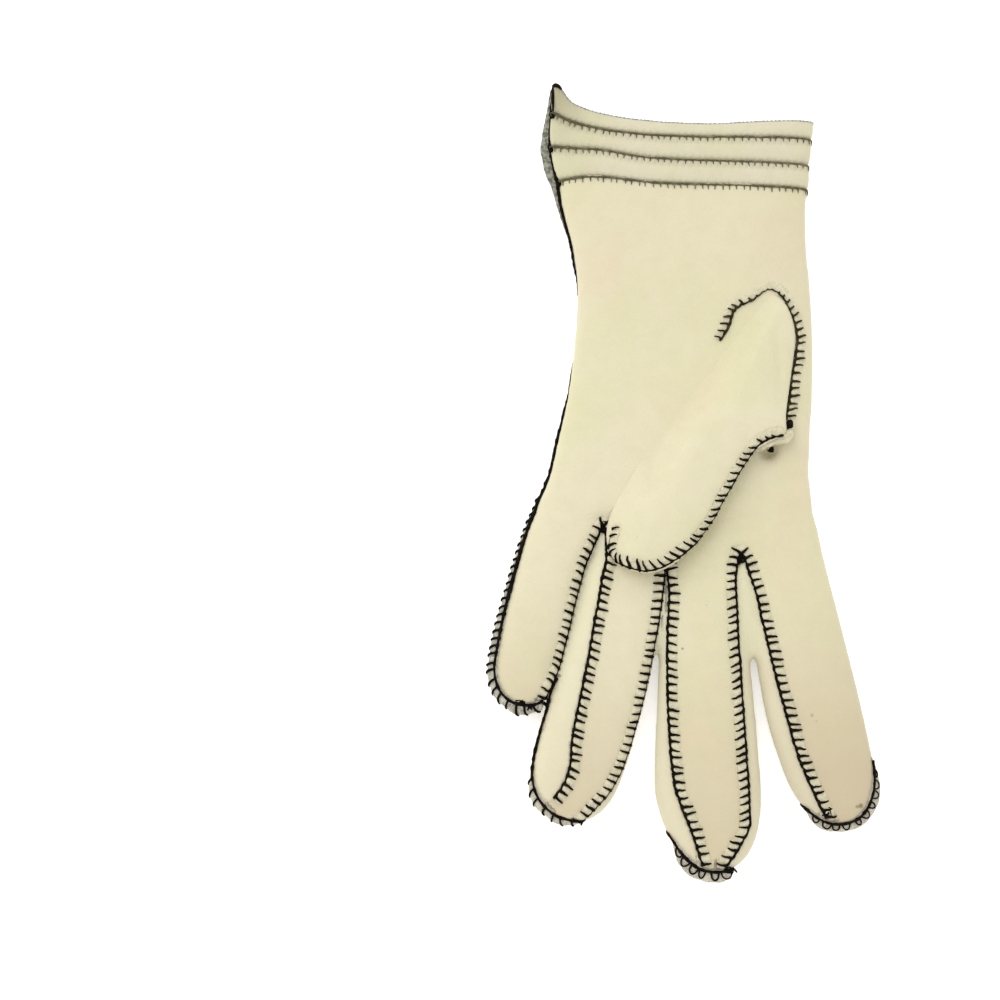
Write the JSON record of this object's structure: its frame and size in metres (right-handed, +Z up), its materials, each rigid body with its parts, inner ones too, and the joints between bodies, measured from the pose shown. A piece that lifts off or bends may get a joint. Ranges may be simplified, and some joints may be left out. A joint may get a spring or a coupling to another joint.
{
  "type": "driving glove",
  "caption": "Left-hand sewn suede glove lying empty, palm up, thumb folded over the palm, with raised hand-stitched seams, side strips in the fingers and a banded, flared cuff.",
  "frame": {"origin": "middle of the glove's footprint, on the surface it lies on", "axes": "+X across the palm from the little finger to the index finger, +Y from the fingertips to the cuff, +Z up out of the palm"},
  "size_m": [0.1184, 0.2504, 0.0166],
  "materials": {
    "palm_and_back": "matte suede",
    "thumb": "matte suede",
    "side_strip": "matte suede",
    "cuff": "matte suede"
  },
  "bodies": {
    "root": {"trank": "palm_and_back", "thumb": "thumb", "fourchette_little_ring": "side_strip", "fourchette_ring_middle": "side_strip", "fourchette_middle_index": "side_strip", "cuff_band_lower": "cuff", "cuff_band_middle": "cuff", "cuff_band_top": "cuff"}
  },
  "joints": []
}
